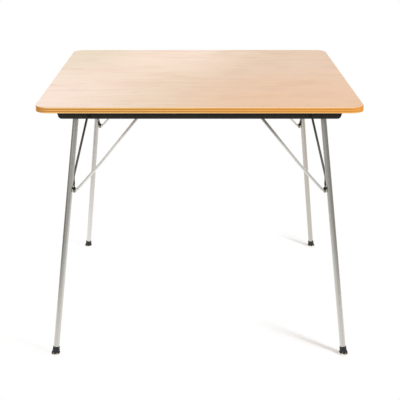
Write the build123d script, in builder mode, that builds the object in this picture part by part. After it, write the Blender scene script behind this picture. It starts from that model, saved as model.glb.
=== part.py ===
from build123d import *
from math import hypot
import os

# Folding card table: a square plywood top on four splayed tube legs that fold flat under it.
# Millimetres. The origin is on the floor under the table's centre, +X along the rails,
# +Y to the rear and +Z up. Each leg is drawn once, at the front right corner, then mirrored.

# Top panel
top_width = 864.0
top_depth = 864.0
top_thickness = 16.0
table_height = 724.0
top_corner_radius = 38.0
top_upper_arris = 1.5
top_lower_arris = 1.0

# Rails under the front and rear edges
rail_edge_setback = 32.0
rail_end_setback = 54.0
rail_height = 22.6
rail_end_rake = 6.0
rail_thickness = 16.0
rail_corner_radius = 10.0
rail_arris = 1.0

# Screws that hold the rails up against the top, in sunk holes from below
rail_screw_pitch = 210.0
rail_screw_count = 3
rail_screw_sink = 6.0

# Angle clips behind the rails and the bolts through the rail's face
clip_edge_inset = 140.5
clip_width = 24.0
clip_depth = 24.0
clip_height = 20.0
clip_thickness = 2.0
clip_screw_pitch = 12.0
clip_screw_back_margin = 8.0
rail_bolt_drop = 12.8
rail_bolt_radius = 3.0
rail_bolt_head_radius = 4.4
rail_bolt_head_height = 2.4
rail_bolt_head_chamfer = 0.4
rail_bolt_sink_radius = 5.0
rail_bolt_sink_depth = 4.5
rail_bolt_socket_width = 4.0
rail_bolt_socket_depth = 1.5
rail_nut_width = 10.0
rail_nut_thickness = 4.0
rail_bolt_tail = 1.5

# Leg tube, from its place on the floor to its place on the underside
leg_top_inset_x = 100.0
leg_top_inset_y = 107.0
foot_inset_x = 21.0
foot_inset_y = 14.5
leg_tube_radius = 7.95
leg_tube_wall = 1.4
leg_tube_floor_gap = 11.0

# Hinge of each leg: a tube on the leg turns on a rod held by two brackets
hinge_drop = 12.0
hinge_tube_radius = 6.35
hinge_rod_radius = 4.0
hinge_clearance = 0.05
hinge_tube_outer_overhang = 16.0
hinge_tube_inner_overhang = 23.0
hinge_end_play = 0.5
hinge_rod_head_radius = 5.6
hinge_rod_head_height = 2.0
hinge_rod_head_round = 1.2
bracket_thickness = 2.5
bracket_ear_radius = 9.0
bracket_flange_length = 27.0
bracket_width = 22.0
bracket_screw_pitch = 12.0
bracket_screw_end_margin = 8.0

# Side strut from the hinge tube to the leg, whose bent end is the brace's pin
strut_radius = 3.95
strut_reach = 185.0
pin_height = 474.0
strut_bow = 4.0
strut_bow_share = 0.67
strut_bow_radius = 260.0
strut_bend_radius = 6.0
strut_bend_run_share = 0.6

# Collar and spacer on the pin, each side of the brace's eye
spacer_gap = 0.3
spacer_thickness = 1.6
spacer_radius = 7.1
collar_thickness = 2.2
collar_radius = 7.3
eye_side_gap = 0.3

# Lock brace from the pin to its keeper under the top
brace_radius = 3.175
brace_top_inset_x = 127.0
brace_top_inset_y = 227.0
brace_top_drop = 6.0
brace_joggle = 3.4
brace_joggle_run = 36.0
brace_joggle_radius = 30.0
eye_thickness = 3.0
eye_radius = 8.5
eye_clearance = 0.05
neck_start = 7.5
neck_end = 19.0
neck_width = 7.4
neck_corner = 0.8
crossbar_radius = 3.4
crossbar_length = 26.0
crossbar_chamfer = 0.6

# Keeper: a plate with two hooks under the crossbar and a low lip in front of it
keeper_thickness = 1.6
keeper_gap = 0.3
keeper_half_width = 20.0
keeper_front_reach = 9.0
keeper_back_reach = 22.0
keeper_corner_radius = 3.0
keeper_slot_half_width = 6.5
keeper_hook_half_width = 14.0
keeper_hook_wrap = 72.0
keeper_lip_gap = 0.6
keeper_lip_depth = 1.8
keeper_screw_offset = 12.0
keeper_screw_reach = 15.0

# Wood screws of the brackets, clips, keepers and rails
screw_radius = 1.9
screw_head_radius = 3.6
screw_head_height = 2.0
screw_head_round = 1.0
screw_depth = 12.0
screw_slot_width = 0.9
screw_slot_depth = 0.8

# Rubber boot on the leg's end, its skirt standing on the glide's ledge
boot_height = 24.2
boot_base_radius = 12.2
boot_waist_radius = 9.9
boot_top_radius = 9.4
boot_base_height = 7.6
boot_waist_height = 17.0
boot_flute_count = 6
boot_flute_radius = 5.0
boot_flute_depth = 0.9
boot_notch_radius = 4.0
boot_notch_height = 2.8
boot_top_arris = 0.8
boot_skirt_gap = 0.1

# Domed metal glide: its flat on the floor, a ledge under the boot, a boss and a stem inside it
glide_radius = 13.2
glide_flat_radius = 5.5
glide_dome_height = 4.4
glide_ledge_height = 5.8
glide_rim_arris = 0.6
glide_boss_radius = 9.4
glide_boss_height = 3.0
glide_stem_radius = 3.0
glide_stem_length = 4.0

# One length by which cutting tools pass through what they cut
overrun = 5.0

# Places that follow from the sizes
underside = table_height - top_thickness
half_width = top_width / 2
half_depth = top_depth / 2
hinge_z = underside - hinge_drop
leg_top = Vector(half_width - leg_top_inset_x, -(half_depth - leg_top_inset_y), underside)
foot = Vector(half_width - foot_inset_x, -(half_depth - foot_inset_y), 0)
leg_rise = (leg_top - foot) / underside
leg_direction = leg_rise.normalized()


def leg_axis(height):
    """Point of the front right leg's centreline at a height over the floor."""
    return foot + leg_rise * height


hinge_point = leg_axis(hinge_z)
pin_point = leg_axis(pin_height)
hinge_y = hinge_point.Y
hinge_axis = (hinge_y, hinge_z)
pin_axis = (pin_point.Y, pin_height)
pin_distance = hypot(hinge_y - pin_point.Y, hinge_z - pin_height)
leg_side_slope = hypot(leg_rise.X, 1)

# Plane in which a leg folds: local x is the hinge's axis, local y runs up the leg
fold_up = Vector(0, hinge_y - pin_point.Y, hinge_z - pin_height).normalized()
fold_plane = Plane(
    origin=(0, hinge_y, hinge_z),
    x_dir=(1, 0, 0),
    z_dir=Vector(1, 0, 0).cross(fold_up),
)

# Stations along the hinge's axis and along the pin
hinge_outer_x = hinge_point.X + hinge_tube_outer_overhang
strut_top_x = hinge_point.X - strut_reach
hinge_inner_x = strut_top_x - hinge_tube_inner_overhang
leg_side_x = pin_point.X - leg_tube_radius * leg_side_slope + spacer_radius * leg_rise.X
spacer_outer_x = leg_side_x - spacer_gap
eye_outer_x = spacer_outer_x - spacer_thickness - eye_side_gap
eye_x = eye_outer_x - eye_thickness / 2
collar_outer_x = eye_outer_x - eye_thickness - eye_side_gap
collar_inner_x = collar_outer_x - collar_thickness

# Brace's top end and the plane it swings in: local x is the pin's axis, local y runs up it
brace_top_x = half_width - brace_top_inset_x
brace_top_y = brace_top_inset_y - half_depth
brace_top = Vector(brace_top_x, brace_top_y, underside - brace_top_drop)
brace_rise = Vector(0, brace_top.Y - pin_point.Y, brace_top.Z - pin_height)
brace_length = brace_rise.length
brace_plane = Plane(
    origin=(0, pin_point.Y, pin_height),
    x_dir=(1, 0, 0),
    z_dir=Vector(1, 0, 0).cross(brace_rise.normalized()),
)

# Mirror planes that carry the front right corner to each corner
corners = {
    "front_right": [],
    "front_left": [Plane.YZ],
    "rear_right": [Plane.XZ],
    "rear_left": [Plane.YZ, Plane.XZ],
}

os.makedirs("parts", exist_ok=True)


def mirrored(solid, planes):
    """Copy of a piece mirrored across each plane in turn."""
    with BuildPart() as copy:
        add(solid)
        for plane in planes:
            mirror(about=plane, mode=Mode.REPLACE)
    return copy.part


def save(solid, name):
    """Label a finished piece and write its STEP file."""
    solid.label = name
    export_step(solid, f"parts/{name}.step")


def save_corners(solid, name):
    """Write one copy of a corner's piece for each of the four corners."""
    for corner, planes in corners.items():
        save(mirrored(solid, planes), f"{corner}_{name}")


def save_all_corners(solid, name):
    """Write one node that holds a piece's copies at all four corners."""
    copies = [mirrored(solid, planes) for planes in corners.values()]
    with BuildPart() as group:
        for copy in copies:
            add(copy)
    save(group.part, name)


def x_rod(axis_yz, start_x, end_x, radius, mode=Mode.ADD):
    """Round rod along X between two stations, in the piece being built."""
    with BuildSketch(Plane.YZ.offset(start_x)) as section:
        with Locations(axis_yz):
            Circle(radius)
    extrude(section.sketch, amount=end_x - start_x, mode=mode)


def round_holes(plane, places, radius, depth):
    """Round holes from a plane's places along its normal, in the piece being built."""
    with BuildSketch(plane) as section:
        with Locations(*places):
            Circle(radius)
    extrude(section.sketch, amount=depth, mode=Mode.SUBTRACT)


def corner_points(points):
    """The four corners' places of each point given at the front right."""
    signs = [(1, 1), (-1, 1), (1, -1), (-1, -1)]
    return [(x * across, y * along) for x, y in points for across, along in signs]


# Screw places of the front right corner, on the underside
inner_ear_x = hinge_inner_x - hinge_end_play
outer_ear_x = hinge_outer_x + hinge_end_play
inner_screw_x = inner_ear_x - bracket_flange_length + bracket_screw_end_margin
outer_screw_x = outer_ear_x + bracket_flange_length - bracket_screw_end_margin
rail_face_y = half_depth - rail_edge_setback
rail_back_y = rail_face_y - rail_thickness
rail_middle_y = rail_face_y - rail_thickness / 2
rail_bolt_x = half_width - clip_edge_inset
clip_screw_y = -(rail_back_y - clip_depth + clip_screw_back_margin)

bracket_screw_ys = [hinge_y + side * bracket_screw_pitch / 2 for side in (-1, 1)]
bracket_screws = [(x, y) for x in (inner_screw_x, outer_screw_x) for y in bracket_screw_ys]
clip_screws = [(rail_bolt_x + side * clip_screw_pitch / 2, clip_screw_y) for side in (-1, 1)]
keeper_screw_y = brace_top.Y + keeper_screw_reach
keeper_screws = [(brace_top.X + side * keeper_screw_offset, keeper_screw_y) for side in (-1, 1)]
rail_screw_xs = [rail_screw_pitch * (n - (rail_screw_count - 1) / 2) for n in range(rail_screw_count)]
rail_screws = [(x, side * rail_middle_y) for x in rail_screw_xs for side in (-1, 1)]
rail_screw_grip = rail_height - rail_screw_sink


def make_top():
    """Plywood panel with round corners, eased arrises and blind screw holes below."""
    with BuildPart() as top:
        with BuildSketch(Plane.XY.offset(underside)):
            RectangleRounded(top_width, top_depth, top_corner_radius)
        extrude(amount=top_thickness)
        fillet(top.faces().sort_by(Axis.Z)[-1].edges(), top_upper_arris)
        fillet(top.faces().sort_by(Axis.Z)[0].edges(), top_lower_arris)
        screw_places = corner_points(bracket_screws + clip_screws + keeper_screws) + rail_screws
        round_holes(Plane.XY.offset(underside), screw_places, screw_radius, screw_depth)
    save(top.part, "table_top")


def make_rails():
    """Rails with raked round ends, sunk screw holes and a sunk bolt hole near each end."""
    half_run = half_width - rail_end_setback
    with BuildPart() as rail:
        with BuildSketch(Plane.XZ.offset(rail_back_y)) as outline:
            with BuildLine():
                Polyline(
                    (-half_run, underside),
                    (half_run, underside),
                    (half_run - rail_end_rake, underside - rail_height),
                    (rail_end_rake - half_run, underside - rail_height),
                    close=True,
                )
            make_face()
            fillet(outline.vertices().group_by(Axis.Y)[0], rail_corner_radius)
        extrude(amount=rail_thickness)
        low_edges = rail.edges().filter_by(Axis.X).group_by(Axis.Z)[0]
        chamfer(low_edges, rail_arris)
        screw_places = [(x, -rail_middle_y) for x in rail_screw_xs]
        bottom_plane = Plane.XY.offset(underside - rail_height)
        round_holes(bottom_plane, screw_places, screw_head_radius, rail_screw_sink)
        round_holes(bottom_plane, screw_places, screw_radius, rail_height)
        bolt_places = [(side * rail_bolt_x, underside - rail_bolt_drop) for side in (-1, 1)]
        face_plane = Plane.XZ.offset(rail_face_y)
        round_holes(face_plane, bolt_places, rail_bolt_radius, -rail_thickness)
        round_holes(face_plane, bolt_places, rail_bolt_sink_radius, -rail_bolt_sink_depth)
    save(mirrored(rail.part, []), "front_rail")
    save(mirrored(rail.part, [Plane.XZ]), "rear_rail")


def make_clip():
    """Angle clip in the corner between a rail's back and the underside."""
    with BuildPart() as clip:
        with BuildSketch(Plane.YZ.offset(rail_bolt_x - clip_width / 2)):
            with BuildLine():
                Polyline(
                    (-rail_back_y, underside),
                    (-rail_back_y + clip_depth, underside),
                    (-rail_back_y + clip_depth, underside - clip_thickness),
                    (-rail_back_y + clip_thickness, underside - clip_thickness),
                    (-rail_back_y + clip_thickness, underside - clip_height),
                    (-rail_back_y, underside - clip_height),
                    close=True,
                )
            make_face()
        extrude(amount=clip_width)
        round_holes(Plane.XY.offset(underside), clip_screws, screw_radius, -clip_thickness)
        bolt_place = (rail_bolt_x, underside - rail_bolt_drop)
        round_holes(Plane.XZ.offset(rail_back_y), [bolt_place], rail_bolt_radius, -clip_thickness)
    save_corners(clip.part, "rail_clip")


def make_rail_bolts():
    """Socket-headed bolts through the rails' faces, and the nuts behind the clips."""
    bolt_z = underside - rail_bolt_drop
    head_base_y = rail_face_y - rail_bolt_sink_depth
    nut_face_y = rail_back_y - clip_thickness
    bolt_end_y = nut_face_y - rail_nut_thickness - rail_bolt_tail
    with BuildPart() as bolt:
        with BuildSketch(Plane.XZ.offset(bolt_end_y)):
            with Locations((rail_bolt_x, bolt_z)):
                Circle(rail_bolt_radius)
        extrude(amount=head_base_y - bolt_end_y)
        with BuildSketch(Plane.XZ.offset(head_base_y)):
            with Locations((rail_bolt_x, bolt_z)):
                Circle(rail_bolt_head_radius)
        extrude(amount=rail_bolt_head_height)
        head_face = bolt.faces().sort_by(Axis.Y)[0]
        chamfer(head_face.edges(), rail_bolt_head_chamfer)
        with BuildSketch(Plane.XZ.offset(head_base_y + rail_bolt_head_height)):
            with Locations((rail_bolt_x, bolt_z)):
                RegularPolygon(rail_bolt_socket_width / 2, 6, major_radius=False)
        extrude(amount=-rail_bolt_socket_depth, mode=Mode.SUBTRACT)
    with BuildPart() as nut:
        with BuildSketch(Plane.XZ.offset(nut_face_y)):
            with Locations((rail_bolt_x, bolt_z)):
                RegularPolygon(rail_nut_width / 2, 6, major_radius=False)
                Circle(rail_bolt_radius, mode=Mode.SUBTRACT)
        extrude(amount=-rail_nut_thickness)
    save_all_corners(bolt.part, "rail_bolts")
    save_all_corners(nut.part, "rail_nuts")


def make_screws(places, seat_z, name):
    """Round-headed slotted wood screws driven up from a seat's height into the top."""
    head_z = seat_z - screw_head_height
    with BuildPart() as screws:
        with BuildSketch(Plane.XY.offset(seat_z)):
            with Locations(*places):
                Circle(screw_radius)
        extrude(amount=underside + screw_depth - seat_z)
        with BuildSketch(Plane.XY.offset(head_z)):
            with Locations(*places):
                Circle(screw_head_radius)
        extrude(amount=screw_head_height)
        rims = screws.faces().filter_by(Plane.XY).group_by(Axis.Z)[0].edges()
        fillet(rims, screw_head_round)
        with BuildSketch(Plane.XY.offset(head_z)):
            with Locations(*places):
                Rectangle(screw_head_radius * 2, screw_slot_width)
        extrude(amount=screw_slot_depth, mode=Mode.SUBTRACT)
    save(screws.part, name)


def make_bracket(ear_x, outward, name):
    """Hinge bracket: an ear round the rod's end and a flange screwed under the top."""
    ear_start = ear_x if outward > 0 else ear_x - bracket_thickness
    flange_middle = ear_x + outward * bracket_flange_length / 2
    screw_x = outer_screw_x if outward > 0 else inner_screw_x
    with BuildPart() as bracket:
        with BuildSketch(Plane.YZ.offset(ear_start)):
            with BuildLine():
                arc = CenterArc(hinge_axis, bracket_ear_radius, 180, 180)
                Polyline(
                    arc @ 1,
                    (hinge_y + bracket_width / 2, underside - bracket_thickness),
                    (hinge_y + bracket_width / 2, underside),
                    (hinge_y - bracket_width / 2, underside),
                    (hinge_y - bracket_width / 2, underside - bracket_thickness),
                    arc @ 0,
                )
            make_face()
        extrude(amount=bracket_thickness)
        with BuildSketch(Plane.XY.offset(underside - bracket_thickness)):
            with Locations((flange_middle, hinge_y)):
                Rectangle(bracket_flange_length, bracket_width)
        extrude(amount=bracket_thickness)
        round_holes(Plane.YZ.offset(ear_start), [hinge_axis], hinge_rod_radius, bracket_thickness)
        screw_places = [(screw_x, y) for y in bracket_screw_ys]
        round_holes(Plane.XY.offset(underside), screw_places, screw_radius, -bracket_thickness)
    save_corners(bracket.part, name)


def make_hinge_rod():
    """Rod through both brackets, with a formed head outside each ear."""
    inner_face = inner_ear_x - bracket_thickness
    outer_face = outer_ear_x + bracket_thickness
    with BuildPart() as rod:
        x_rod(hinge_axis, inner_face, outer_face, hinge_rod_radius)
        x_rod(hinge_axis, inner_face - hinge_rod_head_height, inner_face, hinge_rod_head_radius)
        x_rod(hinge_axis, outer_face, outer_face + hinge_rod_head_height, hinge_rod_head_radius)
        end_faces = rod.faces().filter_by(Axis.X).sort_by(Axis.X)
        fillet(end_faces[0].edges() + end_faces[-1].edges(), hinge_rod_head_round)
    save_corners(rod.part, "hinge_rod")


def make_hinge_tube():
    """Tube that turns on the hinge rod and carries the leg and its side strut."""
    with BuildPart() as tube:
        x_rod(hinge_axis, hinge_inner_x, hinge_outer_x, hinge_tube_radius)
        bore_radius = hinge_rod_radius + hinge_clearance
        x_rod(hinge_axis, hinge_inner_x, hinge_outer_x, bore_radius, mode=Mode.SUBTRACT)
    save_corners(tube.part, "hinge_tube")


def make_leg_tube():
    """Leg tube, coped round the hinge tube above and drilled for the strut's end."""
    start = leg_axis(leg_tube_floor_gap)
    with BuildPart() as tube:
        with BuildSketch(Plane(origin=start, x_dir=(1, 0, 0), z_dir=leg_direction)):
            Circle(leg_tube_radius)
            Circle(leg_tube_radius - leg_tube_wall, mode=Mode.SUBTRACT)
        extrude(amount=(hinge_point - start).length)
        x_rod(hinge_axis, hinge_inner_x, hinge_outer_x, hinge_tube_radius, mode=Mode.SUBTRACT)
        x_rod(pin_axis, spacer_outer_x, pin_point.X, strut_radius, mode=Mode.SUBTRACT)
    save_corners(tube.part, "leg_tube")


def make_side_strut():
    """Bowed rod from the hinge tube to the leg, its lower end bent level as the brace's pin."""
    bend_x = collar_inner_x - strut_bend_radius * strut_bend_run_share
    bow_x = strut_top_x + (bend_x - strut_top_x) * strut_bow_share - strut_bow
    with BuildPart() as strut:
        with BuildLine(fold_plane) as path:
            FilletPolyline(
                (strut_top_x, 0),
                (bow_x, -pin_distance * strut_bow_share),
                (bend_x, -pin_distance),
                (pin_point.X, -pin_distance),
                radius=[strut_bow_radius, strut_bend_radius],
            )
        with BuildSketch(Plane(origin=path.line @ 0, z_dir=path.line % 0)):
            Circle(strut_radius)
        sweep(path=path.line)
        x_rod(hinge_axis, hinge_inner_x, hinge_outer_x, hinge_tube_radius, mode=Mode.SUBTRACT)
    save_corners(strut.part, "side_strut")


def make_pin_washers():
    """Collar and spacer that keep the brace's eye in place on the pin."""
    with BuildPart() as washers:
        x_rod(pin_axis, collar_inner_x, collar_outer_x, collar_radius)
        x_rod(pin_axis, spacer_outer_x - spacer_thickness, spacer_outer_x, spacer_radius)
        x_rod(pin_axis, collar_inner_x, spacer_outer_x, strut_radius, mode=Mode.SUBTRACT)
    save_corners(washers.part, "pin_washers")


def make_lock_brace():
    """Brace rod with a flattened eye on the pin, a joggle past the leg and a crossbar on top."""
    eye_start_x = eye_x - eye_thickness / 2
    joggle_x = eye_x + brace_joggle
    with BuildPart() as brace:
        with BuildLine(brace_plane) as lead:
            Line((eye_x, 0), (joggle_x, brace_joggle_run))
        lead_direction = lead.line % 0
        neck_point = lead.line @ (neck_end / brace_joggle_run)
        flat_point = lead.line @ (neck_start / brace_joggle_run)
        across = lead_direction.cross(brace_plane.z_dir)
        with BuildLine(brace_plane) as path:
            neck_local = brace_plane.to_local_coords(neck_point)
            FilletPolyline(
                (neck_local.X, neck_local.Y),
                (joggle_x, brace_joggle_run),
                (brace_top.X, brace_length),
                radius=brace_joggle_radius,
            )
        with BuildSketch(Plane(origin=path.line @ 0, x_dir=across, z_dir=path.line % 0)):
            Circle(brace_radius)
        sweep(path=path.line)
        with BuildSketch(Plane(origin=neck_point, x_dir=across, z_dir=lead_direction)):
            Circle(brace_radius)
        with BuildSketch(Plane(origin=flat_point, x_dir=across, z_dir=lead_direction)):
            RectangleRounded(eye_thickness, neck_width, neck_corner)
        loft()
        x_rod(pin_axis, eye_start_x, eye_outer_x, eye_radius)
        bore_radius = strut_radius + eye_clearance
        x_rod(pin_axis, eye_start_x - overrun, eye_outer_x + overrun, bore_radius, mode=Mode.SUBTRACT)
        bar_start = brace_top.X - crossbar_length / 2
        bar_axis = (brace_top.Y, brace_top.Z)
        x_rod(bar_axis, bar_start, bar_start + crossbar_length, crossbar_radius)
        bar_faces = brace.faces().filter_by(Axis.X).group_by(Axis.Z)[-1]
        chamfer(bar_faces.edges(), crossbar_chamfer)
    save_corners(brace.part, "lock_brace")


def make_keeper():
    """Plate with two hooks that hold the brace's crossbar up and a low lip that stops it."""
    inner = crossbar_radius + keeper_gap
    outer = inner + keeper_thickness
    plate_low = underside - keeper_thickness
    bar_x, bar_y, bar_z = brace_top
    lip_start = inner + keeper_lip_gap
    plate_length = keeper_front_reach + keeper_back_reach
    with BuildPart() as keeper:
        with BuildSketch(Plane.XY.offset(plate_low)):
            with Locations((bar_x, bar_y + (keeper_back_reach - keeper_front_reach) / 2)):
                RectangleRounded(keeper_half_width * 2, plate_length, keeper_corner_radius)
        extrude(amount=keeper_thickness)
        with BuildSketch(Plane.YZ.offset(bar_x - keeper_hook_half_width)):
            with BuildLine():
                outer_arc = CenterArc((bar_y, bar_z), outer, 180, keeper_hook_wrap)
                inner_arc = CenterArc((bar_y, bar_z), inner, 180, keeper_hook_wrap)
                Line(outer_arc @ 1, inner_arc @ 1)
                Line(outer_arc @ 0, (bar_y - outer, plate_low))
                Line((bar_y - outer, plate_low), (bar_y - inner, plate_low))
                Line((bar_y - inner, plate_low), inner_arc @ 0)
            make_face()
        extrude(amount=keeper_hook_half_width * 2)
        slot_low = bar_z - outer - overrun
        with BuildSketch(Plane.XZ.offset(-bar_y + outer + overrun)):
            with Locations((bar_x, (slot_low + plate_low) / 2)):
                Rectangle(keeper_slot_half_width * 2, plate_low - slot_low)
        extrude(amount=-(outer + overrun), mode=Mode.SUBTRACT)
        with BuildSketch(Plane.XY.offset(plate_low)):
            with Locations((bar_x, bar_y + lip_start + keeper_thickness / 2)):
                Rectangle(keeper_hook_half_width * 2, keeper_thickness)
        extrude(amount=-keeper_lip_depth)
        round_holes(Plane.XY.offset(plate_low), keeper_screws, screw_radius, keeper_thickness)
    save_corners(keeper.part, "keeper")


def make_boot():
    """Flared rubber boot round the leg's end, its skirt fluted and notched above the glide."""
    boot_plane = Plane(origin=foot, x_dir=(1, 0, 0), z_dir=leg_direction)
    side_plane = Plane(origin=foot, x_dir=boot_plane.x_dir, z_dir=-boot_plane.y_dir)
    boot_axis = Axis(origin=foot, direction=leg_direction)
    tube_start = (leg_axis(leg_tube_floor_gap) - foot).length
    ledge_plane = Plane.XY.offset(glide_ledge_height)
    boss_top = glide_ledge_height + glide_boss_height
    foot_place = (foot.X, foot.Y)
    with BuildPart() as boot:
        with BuildSketch(side_plane):
            with BuildLine():
                Polyline(
                    (0, boot_height),
                    (0, -overrun),
                    (boot_base_radius, -overrun),
                    (boot_base_radius, boot_base_height),
                )
                Spline(
                    (boot_base_radius, boot_base_height),
                    (boot_waist_radius, boot_waist_height),
                    (boot_top_radius, boot_height),
                    tangents=[(-1, 1), (0, 1)],
                )
                Line((boot_top_radius, boot_height), (0, boot_height))
            make_face()
        revolve(axis=boot_axis)
        fillet(boot.faces().sort_by(boot_axis)[-1].edges(), boot_top_arris)
        with BuildSketch(boot_plane.offset(-overrun)):
            with PolarLocations(boot_base_radius + boot_flute_radius - boot_flute_depth, boot_flute_count):
                Circle(boot_flute_radius)
        extrude(amount=boot_height + overrun * 2, mode=Mode.SUBTRACT)
        round_holes(boot_plane.offset(tube_start), [(0, 0)], leg_tube_radius, boot_height)
        round_holes(ledge_plane, [foot_place], boot_base_radius * 2, -(glide_ledge_height + overrun * 2))
        round_holes(ledge_plane, [foot_place], glide_boss_radius + boot_skirt_gap, glide_boss_height)
        round_holes(Plane.XY.offset(boss_top), [foot_place], glide_stem_radius, glide_stem_length)
        for n in range(boot_flute_count):
            turn = Plane(origin=foot).rotated((0, 0, n * 360 / boot_flute_count))
            notch_plane = Plane(origin=foot, x_dir=turn.y_dir, z_dir=turn.x_dir)
            notch_place = (0, glide_ledge_height + boot_notch_height - boot_notch_radius)
            round_holes(notch_plane, [notch_place], boot_notch_radius, boot_base_radius + overrun)
    save_corners(boot.part, "foot_boot")


def make_glide():
    """Domed metal glide with a flat on the floor, a ledge, and a boss and stem in the boot."""
    boss_top = glide_ledge_height + glide_boss_height
    stem_top = boss_top + glide_stem_length
    with BuildPart() as glide:
        with BuildSketch(Plane.XZ):
            with BuildLine():
                Line((0, 0), (glide_flat_radius, 0))
                TangentArc((glide_flat_radius, 0), (glide_radius, glide_dome_height), tangent=(1, 0))
                Polyline(
                    (glide_radius, glide_dome_height),
                    (glide_radius, glide_ledge_height - glide_rim_arris),
                    (glide_radius - glide_rim_arris, glide_ledge_height),
                    (glide_boss_radius, glide_ledge_height),
                    (glide_boss_radius, boss_top),
                    (glide_stem_radius, boss_top),
                    (glide_stem_radius, stem_top),
                    (0, stem_top),
                    (0, 0),
                )
            make_face()
        revolve(axis=Axis.Z)
    with BuildPart() as placed:
        with Locations((foot.X, foot.Y, 0)):
            add(glide.part)
    save_corners(placed.part, "foot_glide")


make_top()
make_rails()
make_clip()
make_rail_bolts()
make_screws(corner_points(bracket_screws), underside - bracket_thickness, "bracket_screws")
make_screws(corner_points(clip_screws), underside - clip_thickness, "clip_screws")
make_screws(corner_points(keeper_screws), underside - keeper_thickness, "keeper_screws")
make_screws(rail_screws, underside - rail_screw_grip, "rail_screws")
make_bracket(inner_ear_x, -1, "inner_hinge_bracket")
make_bracket(outer_ear_x, 1, "outer_hinge_bracket")
make_hinge_rod()
make_hinge_tube()
make_leg_tube()
make_side_strut()
make_pin_washers()
make_lock_brace()
make_keeper()
make_boot()
make_glide()

print("hinge axis y", round(hinge_y, 3), "z", round(hinge_z, 3))
print("pin y", round(pin_point.Y, 3), "z", pin_height, "eye x", round(eye_x, 3))
print("brace length", round(brace_length, 3))
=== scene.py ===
import math

import bpy
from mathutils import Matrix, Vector


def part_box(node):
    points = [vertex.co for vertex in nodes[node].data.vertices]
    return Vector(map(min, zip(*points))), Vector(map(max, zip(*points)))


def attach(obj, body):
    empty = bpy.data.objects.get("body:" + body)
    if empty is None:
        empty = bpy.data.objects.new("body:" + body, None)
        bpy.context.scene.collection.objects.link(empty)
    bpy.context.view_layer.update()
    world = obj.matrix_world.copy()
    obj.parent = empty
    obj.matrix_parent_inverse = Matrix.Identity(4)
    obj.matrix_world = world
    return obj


# Folding card table: birch ply top, black rails, zinc-plated tube legs that fold.
# Metres, origin on the floor under the table's centre, +X along the rails, +Y to the rear.
# A mask is where something starts to show and where it is full, and a third number is its
# share there.

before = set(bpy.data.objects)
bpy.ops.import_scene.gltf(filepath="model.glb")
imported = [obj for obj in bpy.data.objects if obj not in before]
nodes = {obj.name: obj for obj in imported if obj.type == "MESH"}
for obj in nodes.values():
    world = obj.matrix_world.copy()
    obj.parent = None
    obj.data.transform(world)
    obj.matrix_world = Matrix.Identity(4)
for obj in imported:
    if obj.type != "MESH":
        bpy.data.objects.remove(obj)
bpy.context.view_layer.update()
mm = 0.001
corners = {                                        # the side each leg stands on, along X and Y
    "front_right": (1, -1),
    "front_left": (-1, -1),
    "rear_right": (1, 1),
    "rear_left": (-1, 1),
}


def everyCorner(piece):
    return [f"{corner}_{piece}" for corner in corners]


def middle(name):                                  # centre of a CAD node's box
    low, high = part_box(name)
    return (low + high) / 2


def tone(red, green, blue):                        # a paint chart's 0-255 tone as a linear colour
    def linear(part):                              # by the sRGB curve
        part = part / 255
        return part / 12.92 if part < 0.04045 else ((part + 0.055) / 1.055) ** 2.4

    return [linear(red), linear(green), linear(blue), 1.0]


# Shader maths

class Wire:                                        # one socket; sums on it add their Math nodes
    def __init__(self, paint, socket):
        self.paint = paint
        self.socket = socket

    def math(self, operation, *values):
        return self.paint.node("Math", {"operation": operation}, dict(enumerate(values)))

    def __add__(self, other):
        return self.math("ADD", self, other)

    def __radd__(self, other):
        return self.math("ADD", other, self)

    def __sub__(self, other):
        return self.math("SUBTRACT", self, other)

    def __rsub__(self, other):
        return self.math("SUBTRACT", other, self)

    def __mul__(self, other):
        return self.math("MULTIPLY", self, other)

    def __rmul__(self, other):
        return self.math("MULTIPLY", other, self)

    def __truediv__(self, other):
        return self.math("DIVIDE", self, other)

    def __rtruediv__(self, other):
        return self.math("DIVIDE", other, self)

    def __gt__(self, other):
        return self.math("GREATER_THAN", self, other)

    def __lt__(self, other):
        return self.math("LESS_THAN", self, other)

    def __abs__(self):
        return self.math("ABSOLUTE", self)

    def ramp(self, start, end, share=None):        # 0 at start, 1 or the share at end, smooth
        settings = {"interpolation_type": "SMOOTHSTEP"}
        inputs = {"Value": self, "From Min": start, "From Max": end}
        rise = self.paint.node("MapRange", settings, inputs)
        return rise if share is None else rise * share


class NodeTree:                                    # a tree and the one way nodes are added to it
    def __init__(self, tree):
        self.tree = tree

    def node(self, kind, settings=None, inputs=None, output=0):
        made = self.tree.nodes.new("ShaderNode" + kind)
        for name, value in (settings or {}).items():
            setattr(made, name, value)
        for name, value in (inputs or {}).items():
            if isinstance(value, Wire):
                self.tree.links.new(value.socket, made.inputs[name])
            else:
                made.inputs[name].default_value = value
        return Wire(self, made.outputs[output])

    def join(self, wire, name, socket):            # a link into a node that is already there
        self.tree.links.new(wire.socket, self.tree.nodes[name].inputs[socket])


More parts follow.
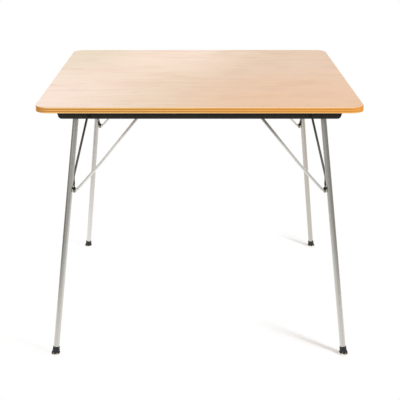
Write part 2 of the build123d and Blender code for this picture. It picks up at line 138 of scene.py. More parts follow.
class Paint(NodeTree):                             # one material
    def __init__(self, name, **fixed):             # fixed: sockets that are the same all over
        self.material = bpy.data.materials.new(name)
        self.material.use_nodes = True
        super().__init__(self.material.node_tree)
        self.shader = self.tree.nodes["Principled BSDF"]
        for socket, value in fixed.items():
            self.shader.inputs[socket.replace("_", " ")].default_value = value

    def place(self):                               # Object coordinates as three values
        spot = self.node("TexCoord", output="Object")
        return [self.node("SeparateXYZ", inputs={0: spot}, output=axis) for axis in "XYZ"]

    def noise(self, place, scale, detail=2.0, roughness=0.5, shift=None):
        spot = [axis * times for axis, times in zip(place, scale)]
        for axis, step in (shift or {}).items():   # the axes are 0, 1 and 2
            spot[axis] = spot[axis] + step
        vector = self.node("CombineXYZ", inputs=dict(enumerate(spot)))
        inputs = {"Vector": vector, "Scale": 1.0, "Detail": detail, "Roughness": roughness}
        return self.node("TexNoise", inputs=inputs)

    def twoTone(self, look):                       # two tones parted by a noise, and that noise
        noise = self.noise(self.place(), **look["noise"])
        return self.blend(noise.ramp(*look["mask"]), *look["tones"]), noise

    def blend(self, mask, first, second, way="MIX"):
        settings = {"data_type": "RGBA", "blend_type": way}
        return self.node("Mix", settings, {0: mask, 6: first, 7: second}, output=2)

    def feed(self, **links):                       # links into the shader's own sockets
        for socket, wire in links.items():
            self.tree.links.new(wire.socket, self.shader.inputs[socket.replace("_", " ")])

    def finish(self, colour, roughness, wear):     # roughness: the least, and what wear adds
        least, more = roughness
        self.feed(Base_Color=colour, Roughness=least + wear * more)

    def bump(self, height, strength, distance):
        inputs = {"Height": height, "Strength": strength, "Distance": distance}
        self.feed(Normal=self.node("Bump", inputs=inputs))

    def cover(self, *names):                       # gives the material to CAD nodes
        for name in names:
            slots = nodes[name].data.materials
            slots.clear()
            slots.append(self.material)


# Camera

view = {"place": (0.001, -2.835, 1.290), "tilt": 71.16, "lens": 85.17, "sensor": 36.0}
cameraData = bpy.data.cameras.new("camera")
cameraData.lens = view["lens"]
cameraData.sensor_width = view["sensor"]
camera = bpy.data.objects.new("camera", cameraData)
camera.location = view["place"]
camera.rotation_euler = (math.radians(view["tilt"]), 0, 0)
bpy.context.scene.collection.objects.link(camera)
bpy.context.scene.camera = camera
print("camera placed")


# Plywood top: birch face veneers over five plies, whose edges show as dark and light bands

panel = {
    "coat": 0.22,
    "coatRoughness": 0.3,
    "roughness": (0.36, 0.14),                     # the least, and what the mottling adds
    "bump": (0.12, 0.05 * mm),                     # strength and height of lines and pores
    "lineRelief": 0.6,                             # a grain line's depth against a pore's

    # Veneer figure, with each noise's scales along X, Y and Z
    "figure": {
        "mottle": {"scale": (5.0, 16.0, 30.0), "detail": 3.0, "roughness": 0.6},
        "cloud": {"scale": (7.0, 11.0, 30.0), "shift": {0: 3.0}},
        "smudges": {"scale": (15.0, 60.0, 60.0), "shift": {1: 7.0}},
        "pores": {"scale": (75.0, 1500.0, 1500.0), "detail": 1.0},
        "flecks": {"scale": (42.0, 110.0, 110.0), "detail": 0.0},
    },
    "rings": {"scale": (1.6, 46.0, 60.0), "detail": 3.0, "roughness": 0.62},
    "lines": {"scale": (9.0, 420.0, 400.0)},
    "waver": {"scale": (2.1, 3.4, 1.0)},
    "wave": {"rings": 5.0, "lines": 12.0},         # how far the waver bends these two

    # Veneer tones and where they lie, in half widths from the top's middle
    "cream": tone(234, 213, 183),
    # rosy: partly the veneer's own tone, partly a painted sheen at the front left
    "rosy": {"tone": tone(253, 226, 208), "left": (0.3, 1.2), "front": (-0.4, 0.7), "cloud": 0.5},
    "tan": {"tone": tone(231, 194, 160), "right": (-0.75, 1.0), "lean": 0.12, "mottle": 0.5},
    "honey": {
        "tone": tone(227, 177, 132), "share": 0.7,
        "right": (-0.55, 0.5), "rear": (-0.6, 0.8), "cloud": 0.6,
    },
    # a painted sheen of the window, in a band strongest at the middle of the rear
    "windowSheen": {
        "tone": tone(255, 226, 201), "share": 0.9,
        "side": (0.05, 0.74), "rear": (-0.9, 0.9), "shift": 0.12, "lean": 0.3,
    },

    # Figure drawn over the tones, and what is added to its share at the right
    "layers": {
        "rings": {"mask": (0.5, 0.74), "share": 0.22, "tone": "grainLine"},
        "lines": {"mask": (0.5, 0.8), "share": 0.16, "tone": "grainLine"},
        "cloud": {"mask": (0.48, 0.72), "share": 0.14, "atRight": 0.14, "tone": "smudge"},
        "smudges": {"mask": (0.58, 0.78), "share": 0.28, "atRight": 0.24, "tone": "smudge"},
        "pores": {"mask": (0.66, 0.78), "share": 0.22, "tone": "fleck"},
        "flecks": {"mask": (0.86, 0.92), "share": 0.4, "tone": "fleck"},
    },
    "rightHalf": (-0.6, 0.4),
    "grainLine": tone(196, 146, 104),
    "smudge": tone(204, 154, 106),
    "fleck": tone(160, 106, 62),
    # a painted highlight along the top's rounded edges
    "arrisHighlight": tone(250, 232, 214),
    "arrisHighlightGap": (1.2 * mm, 2.6 * mm),              # from the outline, where it fades, is gone
    "arrisHighlightShare": 0.55,
    "below": tone(222, 186, 144),
    "belowRings": (0.42, 0.7, 0.4),

    # Ply edges
    "faceVeneer": 0.9 * mm,
    "plies": 5,
    "turn": (-12 * mm, 12 * mm),                   # from a corner's diagonal, where plies swap
    "longPly": tone(241, 188, 98),
    "endPly": tone(198, 128, 43),
    "orangePly": tone(224, 142, 34),
    "orangeRight": (-0.4, 0.9, 0.42),              # in half widths from the middle
    "streak": {"scale": (9.0, 9.0, 1300.0), "detail": 3.0, "roughness": 0.6},
    "streakMask": (0.3, 0.75, 0.45),
    "speckle": {"scale": (900.0, 900.0, 700.0)},
    "speckleMask": (0.5, 0.72, 0.4),
    "glue": tone(120, 66, 24),
    "glueHalf": 0.05,                              # half a joint's height, in plies
    "glueShare": 0.6,
    "bendStain": tone(255, 232, 140),              # dark varnish on the corners' bends
    "stainShare": (0.75, 0.25),                    # at the middle, and what the right takes off
    "stainSide": (20 * mm, 12 * mm),               # starts and is full this near to the side,
    "stainFront": (60 * mm, 30 * mm),              # and this near to the front or rear
}


def veneerFigure(paint, place):                    # noises by name, drawn out along X
    figure = {name: paint.noise(place, **noise) for name, noise in panel["figure"].items()}
    waver = paint.noise(place, **panel["waver"])
    for name, wave in panel["wave"].items():
        figure[name] = paint.noise(place, **panel[name], shift={1: waver * wave})
    return figure


# Cream at the left to tan at the right, rosy at the front left, partly a painted sheen, honey at
# the front right, and a painted window sheen at the middle of the rear
def veneerColour(paint, figure, across, along):
    rosy, tan, honey, windowSheen = [panel[name] for name in ("rosy", "tan", "honey", "windowSheen")]
    mottle, cloud = figure["mottle"], figure["cloud"]
    # rosy front left: the wood's tone and a painted sheen
    rosyPart = (cloud * rosy["cloud"] - across).ramp(*rosy["left"])
    rosyPart = rosyPart * (cloud * rosy["cloud"] - along).ramp(*rosy["front"])
    tanPart = (across - along * tan["lean"] + mottle * tan["mottle"]).ramp(*tan["right"])
    honeyRear = (along + cloud * honey["cloud"]).ramp(*honey["rear"])
    honeyPart = across.ramp(*honey["right"]) * (1 - honeyRear)
    # painted window sheen: a band leaning from the rear's middle to the front left, strongest at
    # the rear
    sheenSide = abs(across + windowSheen["shift"] - (along - 1) * windowSheen["lean"]).ramp(*windowSheen["side"])
    sheenPart = (1 - sheenSide) * along.ramp(*windowSheen["rear"])
    colour = paint.blend(rosyPart, panel["cream"], rosy["tone"])
    colour = paint.blend(tanPart, colour, tan["tone"])
    colour = paint.blend(honeyPart * honey["share"], colour, honey["tone"])
    colour = paint.blend(sheenPart * windowSheen["share"], colour, windowSheen["tone"])

    rightHalf = across.ramp(*panel["rightHalf"])
    for name, layer in panel["layers"].items():
        share = layer["share"]
        if "atRight" in layer:
            share = share + rightHalf * layer["atRight"]
        mask = figure[name].ramp(*layer["mask"]) * share
        colour = paint.blend(mask, colour, panel[layer["tone"]])
    return colour


# Plies whose ends show are darker, and swap with the others round a corner
def edgeColour(paint, place, across, sideGap, frontGap):
    low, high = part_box("table_top")
    x, y, z = place
    plyHeight = (high.z - low.z - 2 * panel["faceVeneer"]) / panel["plies"]
    ply = (z - low.z - panel["faceVeneer"]) / plyHeight
    level = ply.math("FLOOR", ply)
    oddPly = level.math("PINGPONG", level, 1.0)
    onSide = (abs(x) - abs(y)).ramp(*panel["turn"])
    endGrain = oddPly * (1 - onSide) + (1 - oddPly) * onSide
    streak = paint.noise(place, **panel["streak"]).ramp(*panel["streakMask"])
    speckle = paint.noise(place, **panel["speckle"]).ramp(*panel["speckleMask"])
    longPly = paint.blend(streak, panel["longPly"], panel["endPly"])
    endPly = paint.blend(speckle, panel["endPly"], panel["glue"])
    colour = paint.blend(endGrain, longPly, endPly)
    colour = paint.blend(across.ramp(*panel["orangeRight"]), colour, panel["orangePly"])
    stainMiddle, stainLess = panel["stainShare"]
    stain = sideGap.ramp(*panel["stainSide"]) * frontGap.ramp(*panel["stainFront"])
    stain = stain * (stainMiddle - across * stainLess)
    colour = paint.blend(stain, colour, panel["bendStain"], "MULTIPLY")
    jointGap = ply.math("PINGPONG", ply, 0.5)
    glue = (jointGap < panel["glueHalf"]) * panel["glueShare"]
    return paint.blend(glue, colour, panel["glue"])


def makePanel():
    low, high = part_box("table_top")
    paint = Paint("birchPly", Coat_Roughness=panel["coatRoughness"], Coat_Weight=panel["coat"])
    place = paint.place()
    x, y, z = place
    across, along = x / high.x, y / high.y
    sideGap, frontGap = high.x - abs(x), high.y - abs(y)
    figure = veneerFigure(paint, place)
    veneer = veneerColour(paint, figure, across, along)
    # painted highlight along the rounded edge of the top face
    arrisHighlight = 1 - sideGap.math("MINIMUM", sideGap, frontGap).ramp(*panel["arrisHighlightGap"])
    veneer = paint.blend(arrisHighlight * panel["arrisHighlightShare"], veneer, panel["arrisHighlight"])
    belowRings = figure["rings"].ramp(*panel["belowRings"])
    below = paint.blend(belowRings, panel["below"], panel["grainLine"])
    edge = edgeColour(paint, place, across, sideGap, frontGap)
    colour = paint.blend(z > high.z - panel["faceVeneer"], edge, veneer)
    colour = paint.blend(z < low.z + panel["faceVeneer"], colour, below)
    paint.finish(colour, panel["roughness"], figure["mottle"])
    paint.bump(figure["lines"] * panel["lineRelief"] + figure["pores"], *panel["bump"])
    paint.cover("table_top")


makePanel()
print("plywood top painted")


# Rails: black paint over close-grained hardwood

rail = {
    "black": tone(16, 18, 16),
    # low: painted bounce light from the floor at the rail's bottom, which the black lightens to
    "low": tone(46, 45, 40),
    # the tone of the wear patches, and of the painted light along the lower edge
    "wornAndEdgeLit": tone(64, 61, 54),
    "specular": 0.25,
    "brushed": {"scale": (8.0, 500.0, 500.0), "detail": 3.0, "roughness": 0.6},
    "wear": {"scale": (60.0, 200.0, 200.0), "detail": 4.0, "roughness": 0.65},
    "wearMask": (0.6, 0.8, 0.5),
    "lowEdge": 3 * mm,                             # height of the lower edge, which is lightened this much more by painted floor light
    "lowEdgeLight": 0.12,                               # rubbed by this much more
    "roughness": (0.42, 0.2),
    "bump": (0.2, 0.08 * mm),
}


def makeRails():
    low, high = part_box("front_rail")
    paint = Paint("blackRail", Specular_IOR_Level=rail["specular"])
    place = paint.place()
    height = place[2]
    brushed = paint.noise(place, **rail["brushed"])
    wear = paint.noise(place, **rail["wear"])
    lowEdge = 1 - height.ramp(low.z, low.z + rail["lowEdge"])
    # worn patches, and a painted light band along the lower edge
    patch = (wear + lowEdge * rail["lowEdgeLight"]).ramp(*rail["wearMask"])
    # painted shade and light: darker under the top's overhang, lighter towards the bottom
    colour = paint.blend(1 - height.ramp(low.z, high.z), rail["black"], rail["low"])
    paint.finish(paint.blend(patch, colour, rail["wornAndEdgeLit"]), rail["roughness"], brushed)
    paint.bump(brushed, *rail["bump"])
    paint.cover("front_rail", "rear_rail")


makeRails()
print("rails painted")


# Zinc-plated tubes and rods: the plating is drawn out along each one. Heights along a rod
# start at its foot, and the feet and tops are those of the rear right corner.

plating = {
    "bright": tone(214, 212, 207),
    "grey": tone(200, 198, 193),
    "whiteZinc": tone(248, 247, 243),
    "cleanGrey": tone(234, 233, 229),
    "warm": tone(202, 190, 175),
    "blush": tone(212, 188, 178),
    "dull": tone(140, 128, 113),
    "shaded": tone(128, 126, 120),
    # the braces' darker tones: painted shade and dark reflections under the table
    "shadedBrace": tone(122, 127, 129),
    "darkShadedBrace": tone(85, 88, 89),
    "braceShadow": tone(50, 56, 62),
    "black": tone(34, 31, 26),
    "brown": tone(140, 132, 118),
    "broad": {"scale": (90.0, 90.0, 2.2)},
    "broadMask": (0.35, 0.65),
    "fine": {"scale": (700.0, 700.0, 7.0), "detail": 3.0, "roughness": 0.6},
    "fineMask": (0.45, 0.75, 0.35),
    "spots": {"scale": (300.0, 300.0, 300.0), "detail": 3.0, "roughness": 0.7},
    "spotMask": (0.6, 0.78, 0.25),
    "rougher": (0.14, 0.08),                       # what the fine noise and the spots add
    "spotRelief": 0.6,                             # a spot's depth against a fine line's
    "reliefHeight": 0.04 * mm,
    "cornerShift": (3.7, 1.9),                     # keeps the four corners from looking alike
}
leg = {
    "foot": Vector((411, 417.5, 0)) * mm,
    "top": Vector((332, 325, 708)) * mm,
    "tones": ("bright", "grey"),
    "roughness": 0.3,
    "relief": 0.15,                                # strength of its bump
    "outside": (-4 * mm, 7 * mm),                  # across the tube, and up it, where its outer side darkens: tarnish, and a painted dark reflection
    "outsideRise": (0.12, 0.45),                   # outer side gets duller
    "outsideTarnishAndShade": 0.1,
    "lowEnd": (0.05, 0.42),                        # heights where the blush and painted reflection end
    "lowFloorReflection": 0.26,
    "rearLeftFloorReflection": 0.24,                         # added to the lower end's painted reflection there
    "frontBlush": 0.16,
    "rearWarm": 0.12,
    "rearRightWarm": 0.33,                         # added to rearWarm there
    "rearRightDull": 0.16,
}
strut = {
    "foot": Vector((345, 355.6, 474)) * mm,
    "top": Vector((148.3, 326.6, 696)) * mm,
    "tones": ("whiteZinc", "cleanGrey"),
    "metallic": 0.65,
    "roughness": 0.2,
    "relief": 0.05,
    "rightShade": 0.16,
    "upper": (0.1, 0.22),                          # heights where the upper end darkens
    "upperShade": 0.4,
    "upperRightShade": 0.5,                        # added to upperShade there
}
brace = {
    "foot": Vector((349, 355.6, 474)) * mm,
    "top": Vector((305, 205, 702)) * mm,
    # darker than the struts' zinc: painted shade and dark reflections
    "tones": ("shadedBrace", "darkShadedBrace"),
    "roughness": 0.3,
    "relief": 0.15,
    # painted shade, darker towards the top
    "braceShadow": (0.08, 0.22, 0.93),
    "eyeStart": (0.5 * mm, 4 * mm),                # brown gives way to the eye's black here
    "eyeEnd": (12 * mm, 24 * mm),
}
hinge = {"tones": ("bright", "grey"), "roughness": 0.3, "relief": 0.15}


def alongRod(paint, rod):                          # places across it, twice, and up it; its corner
    x, y, z = paint.place()
    foot, rise = rod["foot"], rod["top"] - rod["foot"]
    climb = z - foot.z
    across = abs(x) - foot.x - climb * (rise.x / rise.z)
    depth = abs(y) - foot.y - climb * (rise.y / rise.z)
    return (across, depth, climb), x > 0, y > 0


def plate(paint, spot, right, rear, rod, patches=()):
    rightShift, rearShift = plating["cornerShift"]
    side = right * rightShift + rear * rearShift
    broad = paint.noise(spot, **plating["broad"], shift={0: side})
    fine = paint.noise(spot, **plating["fine"], shift={1: side})
    spots = paint.noise(spot, **plating["spots"], shift={2: side})
    first, second = rod["tones"]
    colour = paint.blend(broad.ramp(*plating["broadMask"]), plating[first], plating[second])
    colour = paint.blend(fine.ramp(*plating["fineMask"]), colour, plating["warm"])
    colour = paint.blend(spots.ramp(*plating["spotMask"]), colour, plating["dull"])
    for mask, name in patches:
        colour = paint.blend(mask, colour, plating[name])
    fineRough, spotRough = plating["rougher"]
    roughness = rod["roughness"] + fine * fineRough + spots * spotRough
    paint.feed(Base_Color=colour, Roughness=roughness)
    paint.bump(fine + spots * plating["spotRelief"], rod["relief"], plating["reliefHeight"])


def makeLegs():
    paint = Paint("zincLeg", Metallic=1.0)
    spot, right, rear = alongRod(paint, leg)
    across, climb = spot[0], spot[2]
    outside = across.ramp(*leg["outside"]) * climb.ramp(*leg["outsideRise"])
    low = 1 - climb.ramp(*leg["lowEnd"])
    patches = [
        # outer side darker: partly tarnish, partly a painted dark reflection
        (outside * leg["outsideTarnishAndShade"], "dull"),
        # lower end lighter: a painted reflection of the white floor
        (low * (leg["lowFloorReflection"] + rear * (1 - right) * leg["rearLeftFloorReflection"]), "whiteZinc"),
        (low * (1 - rear) * leg["frontBlush"], "blush"),
        (rear * (leg["rearWarm"] + right * leg["rearRightWarm"]), "warm"),
        (rear * right * leg["rearRightDull"], "dull"),
    ]
    plate(paint, spot, right, rear, leg, patches)
    paint.cover(*everyCorner("leg_tube"))


def makeStruts():
    paint = Paint("zincStrut", Metallic=strut["metallic"])
    spot, right, rear = alongRod(paint, strut)
    upper = spot[2].ramp(*strut["upper"])
    patches = [
        (right * strut["rightShade"], "shaded"),
        (upper * (strut["upperShade"] + right * strut["upperRightShade"]), "shaded"),
    ]
    plate(paint, spot, right, rear, strut, patches)
    paint.cover(*everyCorner("side_strut"))


def makeBraces():
    paint = Paint("zincBrace", Metallic=1.0)
    spot, right, rear = alongRod(paint, brace)
    climb = spot[2]
    aboveStart = climb.ramp(*brace["eyeStart"])
    patches = [
        # painted shade towards the top
        (climb.ramp(*brace["braceShadow"]), "braceShadow"),
        (aboveStart * (1 - climb.ramp(*brace["eyeEnd"])), "black"),
        (1 - aboveStart, "brown"),
    ]
    plate(paint, spot, right, rear, brace, patches)
    paint.cover(*everyCorner("lock_brace"))


def makeHinges():                                  # their tubes and rods lie along X
    paint = Paint("zincHinge", Metallic=1.0)
    x, y, z = paint.place()
    plate(paint, (y, z, x), x > 0, y > 0, hinge)
    paint.cover(*everyCorner("hinge_tube"), *everyCorner("hinge_rod"))


makeLegs()
makeStruts()
makeBraces()
makeHinges()
print("tubes and rods plated")


# Stamped parts, screws, blackened collars

sheet = {
    "pieces": ("inner_hinge_bracket", "outer_hinge_bracket", "rail_clip", "keeper"),
    "zinc": tone(178, 176, 168),
    "spangled": tone(204, 203, 198),
    "stained": tone(120, 108, 90),
    "spangle": {"scale": (160.0, 160.0, 160.0), "detail": 3.0, "roughness": 0.6},
    "spangleMask": (0.4, 0.62),
    "stain": {"scale": (45.0, 45.0, 45.0), "detail": 4.0, "roughness": 0.6},
    "stainMask": (0.55, 0.75, 0.5),
    "roughness": (0.34, 0.2),
    "bump": (0.1, 0.05 * mm),
}
screw = {
    "nodes": ("bracket_screws", "clip_screws", "keeper_screws", "rail_screws", "rail_nuts"),
    "tones": (tone(204, 203, 198), tone(120, 108, 90)),
    "noise": {"scale": (600.0, 600.0, 600.0), "detail": 3.0, "roughness": 0.6},
    "mask": (0.45, 0.68),
    "roughness": (0.25, 0.25),
}
collar = {
    "tones": (tone(58, 54, 46), tone(120, 114, 100)),
    "lighterBelow": tone(164, 154, 138),
    "metallic": 0.8,
    "noise": {"scale": (500.0, 500.0, 500.0), "detail": 3.0, "roughness": 0.6},
    "mask": (0.6, 0.75, 0.5),
    "lighterBelowEnd": (0.5 * mm, 4 * mm),                 # over the pin, where the lighter lower tone ends
    "lighterBelowShare": 0.85,
    "roughness": (0.22, 0.2),
}


def makeSheetParts():
    paint = Paint("stampedZinc", Metallic=1.0)
    place = paint.place()
    spangle = paint.noise(place, **sheet["spangle"])
    stain = paint.noise(place, **sheet["stain"])
    colour = paint.blend(spangle.ramp(*sheet["spangleMask"]), sheet["zinc"], sheet["spangled"])
    colour = paint.blend(stain.ramp(*sheet["stainMask"]), colour, sheet["stained"])
    paint.finish(colour, sheet["roughness"], stain)
    paint.bump(spangle, *sheet["bump"])
    for piece in sheet["pieces"]:
        paint.cover(*everyCorner(piece))


def makeScrews():
    paint = Paint("screwSteel", Metallic=1.0)
    colour, rubbed = paint.twoTone(screw)
    paint.finish(colour, screw["roughness"], rubbed)
    paint.cover(*screw["nodes"])


def makeCollars():
    paint = Paint("blackenedSteel", Metallic=collar["metallic"])
    colour, rubbed = paint.twoTone(collar)
    height, pin = paint.place()[2], strut["foot"].z
    fade, end = collar["lighterBelowEnd"]
    lighterBelow = (1 - height.ramp(pin + fade, pin + end)) * collar["lighterBelowShare"]
    paint.finish(paint.blend(lighterBelow, colour, collar["lighterBelow"]), collar["roughness"], rubbed)
    paint.cover("rail_bolts", *everyCorner("pin_washers"))


makeSheetParts()
makeScrews()
makeCollars()
print("brackets, screws and collars painted")


# Feet: moulded rubber boots and nickel glides

boot = {
    "black": tone(30, 30, 33),
    "dusty": tone(84, 82, 84),
    "grain": {"scale": (900.0, 900.0, 900.0)},
    "dust": {"scale": (130.0, 130.0, 60.0), "detail": 4.0, "roughness": 0.65},
    "dustMask": (0.5, 0.8, 0.4),
    "skirt": (6 * mm, 12 * mm),                    # heights where the dustier skirt ends
    "skirtDust": 0.14,
    "roughness": (0.42, 0.25),
    "bump": (0.15, 0.08 * mm),
}
glide = {
    # cream nickel with brown patches: partly tarnish, partly painted brown reflections
    "tones": (tone(252, 244, 230), tone(156, 140, 118)),
    "noise": {"scale": (220.0, 220.0, 220.0), "detail": 4.0, "roughness": 0.6},
    "mask": (0.45, 0.7, 0.6),
    "roughness": (0.18, 0.25),
}


def makeBoots():
    paint = Paint("bootRubber")
    place = paint.place()
    dust = paint.noise(place, **boot["dust"])
    skirt = 1 - place[2].ramp(*boot["skirt"])
    dusty = (dust + skirt * boot["skirtDust"]).ramp(*boot["dustMask"])
    colour = paint.blend(dusty, boot["black"], boot["dusty"])
    paint.finish(colour, boot["roughness"], dust)
    paint.bump(paint.noise(place, **boot["grain"]), *boot["bump"])
    paint.cover(*everyCorner("foot_boot"))


def makeGlides():
    paint = Paint("glideNickel", Metallic=1.0)
    colour, tarnishAndReflection = paint.twoTone(glide)
    paint.finish(colour, glide["roughness"], tarnishAndReflection)
    paint.cover(*everyCorner("foot_glide"))


makeBoots()
makeGlides()
print("feet painted")


# Weld beads where the leg and the side strut meet the hinge tube

weld = {
    "tones": (plating["grey"], tone(96, 90, 84)),
    "noise": {"scale": (700.0, 700.0, 700.0), "detail": 3.0, "roughness": 0.6},
    "mask": (0.4, 0.62),
    "roughness": (0.35, 0.3),
    "bump": (0.3, 0.1 * mm),
    "legRadius": 7.95 * mm,
    "legReach": 6.0 * mm,                          # the leg's wall past this passes beside the tube
    "strutRadius": 3.95 * mm,
    "strutReach": None,                            # the strut ends under the tube all round
    "start": 25 * mm,                              # the ring starts this far down the rod
    "points": 96,
    "bead": 1.1 * mm,
    "beadSteps": 3,
    "mergeGap": 0.01 * mm,
    "ripple": 0.5 * mm,
    "rippleLength": 1.4 * mm,
}


def deselect():
    if bpy.context.object and bpy.context.object.mode != "OBJECT":
        bpy.ops.object.mode_set(mode="OBJECT")
    bpy.ops.object.select_all(action="DESELECT")


def applyAll(piece):
    for modifier in list(piece.modifiers):
        bpy.ops.object.modifier_apply(modifier=modifier.name)


def addRing(name, start, direction, radius):       # a circle square to the rod
    deselect()
    turn = direction.to_track_quat("Z", "Y").to_euler()
    bpy.ops.mesh.primitive_circle_add(
        vertices=weld["points"], radius=radius, location=start, rotation=turn)
    ring = bpy.context.object
    ring.name = name
    return ring


def trimRing(ring, middleY, reach):                # keeps the stretches that lie under the tube
    bpy.ops.object.mode_set(mode="EDIT")
    bpy.ops.mesh.select_all(action="DESELECT")
    bpy.ops.object.mode_set(mode="OBJECT")
    for vertex in ring.data.vertices:
        place = ring.matrix_world @ vertex.co
        vertex.select = abs(place.y - middleY) > reach
    bpy.ops.object.mode_set(mode="EDIT")
    bpy.ops.mesh.delete(type="VERT")
    bpy.ops.object.mode_set(mode="OBJECT")


def layRing(ring, tube):                           # up along the rod, on to the tube's wall
    wrap = ring.modifiers.new("saddle", "SHRINKWRAP")
    wrap.target = tube
    wrap.wrap_method = "PROJECT"
    wrap.use_project_z = True
    applyAll(ring)
    bpy.ops.object.transform_apply(location=True, rotation=True, scale=True)


def fillRing(ring, texture):                       # a round bead along it, with a ripple
    bpy.ops.object.convert(target="CURVE")
    ring.data.bevel_depth = weld["bead"]
    ring.data.bevel_resolution = weld["beadSteps"]
    ring.data.use_fill_caps = True
    bpy.ops.object.convert(target="MESH")
    bpy.ops.object.mode_set(mode="EDIT")
    bpy.ops.mesh.select_all(action="SELECT")
    bpy.ops.mesh.remove_doubles(threshold=weld["mergeGap"])
    bpy.ops.mesh.normals_make_consistent(inside=False)
    bpy.ops.object.mode_set(mode="OBJECT")
    ripple = ring.modifiers.new("ripple", "DISPLACE")
    ripple.texture = texture
    ripple.texture_coords = "LOCAL"
    ripple.strength = weld["ripple"]
    applyAll(ring)
    bpy.ops.object.shade_smooth()


def atCorner(point, corner):                       # the rear right corner's point at another one
    across, along = corners[corner]
    return Vector((point.x * across, point.y * along, point.z))


def makeWelds():
    paint = Paint("weldMetal", Metallic=1.0)
    colour, scale = paint.twoTone(weld)
    paint.finish(colour, weld["roughness"], scale)
    paint.bump(scale, *weld["bump"])
    texture = bpy.data.textures.new("weldRipple", "CLOUDS")
    texture.noise_scale = weld["rippleLength"]
    for corner in corners:
        tube = middle(f"{corner}_hinge_tube")
        for rodName, rod in (("leg", leg), ("strut", strut)):
            foot, top = atCorner(rod["foot"], corner), atCorner(rod["top"], corner)
            direction = (top - foot).normalized()
            meeting = foot + direction * ((tube.z - foot.z) / direction.z)
            start = meeting - direction * weld["start"]
            bead = addRing(f"{corner}_{rodName}_weld", start, direction, weld[rodName + "Radius"])
            if weld[rodName + "Reach"] is not None:
                trimRing(bead, start.y, weld[rodName + "Reach"])
            layRing(bead, nodes[f"{corner}_hinge_tube"])
            fillRing(bead, texture)
            bead.data.materials.append(paint.material)
            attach(bead, f"{corner}_leg")


makeWelds()
print("weld beads laid")


# Studio: white floor and background, soft lamps, and dark cards as a photographer stands
# round metal

studio = {
    "floorSize": 40.0,
    "floorTone": 0.95,
    "ambient": 0.58,                               # strength of the background's light
    "whiteShare": 0.15,                            # plain white that is left in a foot's shadow
    "frontShadow": 0.36,                           # metres from a front foot to its shadow's end
    "rearShadow": 0.2,                             # the same for a rear foot
    "shadowStart": (-0.02, 0.015),                 # metres past the foot where it starts, is full
    "shadowFade": (0.15, 1.0),                     # shares of its length where it fades, is gone
    "shadowWidth": (0.012, 0.05),                  # metres to a side where it is full, is gone,
    "spread": (0.4, 1.8),                          # times this at the foot and this per metre
    "leftShadow": 0.15,                            # strength of the shadows nearer the window
}
lamps = {
    "window": {
        "place": (-2.3, 1.7, 1.9), "aim": (-0.1, 0.0, 0.7),
        "size": 1.6, "power": 40.0, "glossy": False,
    },
    "key": {
        "place": (2.3, -2.1, 2.3), "aim": (0.1, -0.1, 0.4),
        "size": 0.45, "power": 58.0, "glossy": False,
    },
    "fill": {
        "place": (-2.0, -2.6, 1.6), "aim": (0.0, 0.0, 0.5),
        "size": 1.6, "power": 14.0, "glossy": True,
    },
}
cards = {                                          # only glossy rays meet them
    "front": {
        "tone": (0.34, 0.36, 0.36),
        "place": (0, -1.5, 0.6), "size": (4.0, 1.2), "turn": (90, 0, 0),
    },
    "left": {
        "tone": (0.26, 0.25, 0.23),
        "place": (-0.8, -0.7, 0.65), "size": (1.1, 1.6), "turn": (0, 90, 0),
    },
    "right": {
        "tone": (0.38, 0.365, 0.34),
        "place": (0.8, -0.7, 0.65), "size": (1.1, 1.6), "turn": (0, -90, 0),
    },
}


def seenDirectly(tree):                            # 1 for rays that show the background itself
    kinds = ("Is Camera Ray", "Is Glossy Ray", "Is Transmission Ray")
    rays = [tree.node("LightPath", output=kind) for kind in kinds]
    total = rays[0] + rays[1] + rays[2]
    return total.math("MINIMUM", total, 1.0)


def footShadow(paint):                             # 0 to 1, from each foot away from the key lamp
    x, y = paint.place()[:2]
    keyX, keyY = lamps["key"]["place"][:2]
    footX, footY = x.math("SIGN", x) * leg["foot"].x, y.math("SIGN", y) * leg["foot"].y
    awayX, awayY = footX - keyX, footY - keyY
    away = x.math("SQRT", awayX * awayX + awayY * awayY)
    along = ((x - footX) * awayX + (y - footY) * awayY) / away
    across = abs((x - footX) * awayY - (y - footY) * awayX) / away
    atFoot, perMetre = studio["spread"]
    across = across / (atFoot + along.math("MAXIMUM", along, 0.0) * perMetre)
    length = studio["frontShadow"] + (y > 0) * (studio["rearShadow"] - studio["frontShadow"])
    fade = (along / length).ramp(*studio["shadowFade"])
    shadow = (1 - across.ramp(*studio["shadowWidth"])) * (1 - fade)
    left = (x < 0) * (1 - studio["leftShadow"])
    return shadow * along.ramp(*studio["shadowStart"]) * (1 - left)


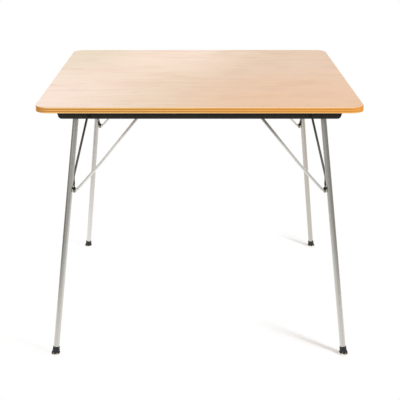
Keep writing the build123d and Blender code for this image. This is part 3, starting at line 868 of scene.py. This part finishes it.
def makeFloor():
    deselect()
    bpy.ops.mesh.primitive_plane_add(size=studio["floorSize"], location=(0, 0, 0))
    floor = bpy.context.object
    floor.name = "floor"
    paint = Paint("studioFloor")
    share = 1 - footShadow(paint) * (1 - studio["whiteShare"])
    shade = (studio["floorTone"],) * 3 + (1.0,)
    matt = paint.node("BsdfDiffuse", inputs={"Color": shade})
    glow = paint.node("Emission", inputs={"Strength": 1.0})
    lit = paint.node("MixShader", inputs={0: seenDirectly(paint) * share, 1: matt, 2: glow})
    clear = paint.node("BsdfTransparent")
    behind = paint.node("NewGeometry", output="Backfacing")
    surface = paint.node("MixShader", inputs={0: behind, 1: lit, 2: clear})
    paint.join(surface, "Material Output", "Surface")
    paint.material.cycles.emission_sampling = "NONE"
    floor.data.materials.append(paint.material)


def makeWorld():
    world = bpy.data.worlds.new("studio")
    world.use_nodes = True
    bpy.context.scene.world = world
    world.node_tree.nodes["Background"].inputs["Color"].default_value = (1.0, 1.0, 1.0, 1.0)
    sky = NodeTree(world.node_tree)
    strength = studio["ambient"] + seenDirectly(sky) * (1 - studio["ambient"])
    sky.join(strength, "Background", "Strength")
    world.cycles.sampling_method = "NONE"


def makeLamps():
    for name, lamp in lamps.items():
        light = bpy.data.lights.new(name, "AREA")
        light.size = lamp["size"]
        light.energy = lamp["power"]
        body = bpy.data.objects.new(name, light)
        body.location = lamp["place"]
        aim = Vector(lamp["aim"]) - Vector(lamp["place"])
        body.rotation_euler = aim.to_track_quat("-Z", "Y").to_euler()
        body.visible_glossy = lamp["glossy"]
        bpy.context.scene.collection.objects.link(body)


def makeCards():
    for name, card in cards.items():
        deselect()
        turn = [math.radians(angle) for angle in card["turn"]]
        bpy.ops.mesh.primitive_plane_add(size=1.0, location=card["place"], rotation=turn)
        board = bpy.context.object
        board.name = name + "Card"
        board.scale = (*card["size"], 1.0)
        paint = Paint(name + "Card")
        glow = paint.node("Emission", inputs={"Color": (*card["tone"], 1.0)})
        paint.join(glow, "Material Output", "Surface")
        paint.material.cycles.emission_sampling = "NONE"
        board.data.materials.append(paint.material)
        for ray in ("camera", "diffuse", "shadow", "transmission", "volume_scatter"):
            setattr(board, "visible_" + ray, False)


makeFloor()
makeWorld()
makeLamps()
makeCards()
bpy.context.scene.view_settings.view_transform = "Standard"
print("studio lit")
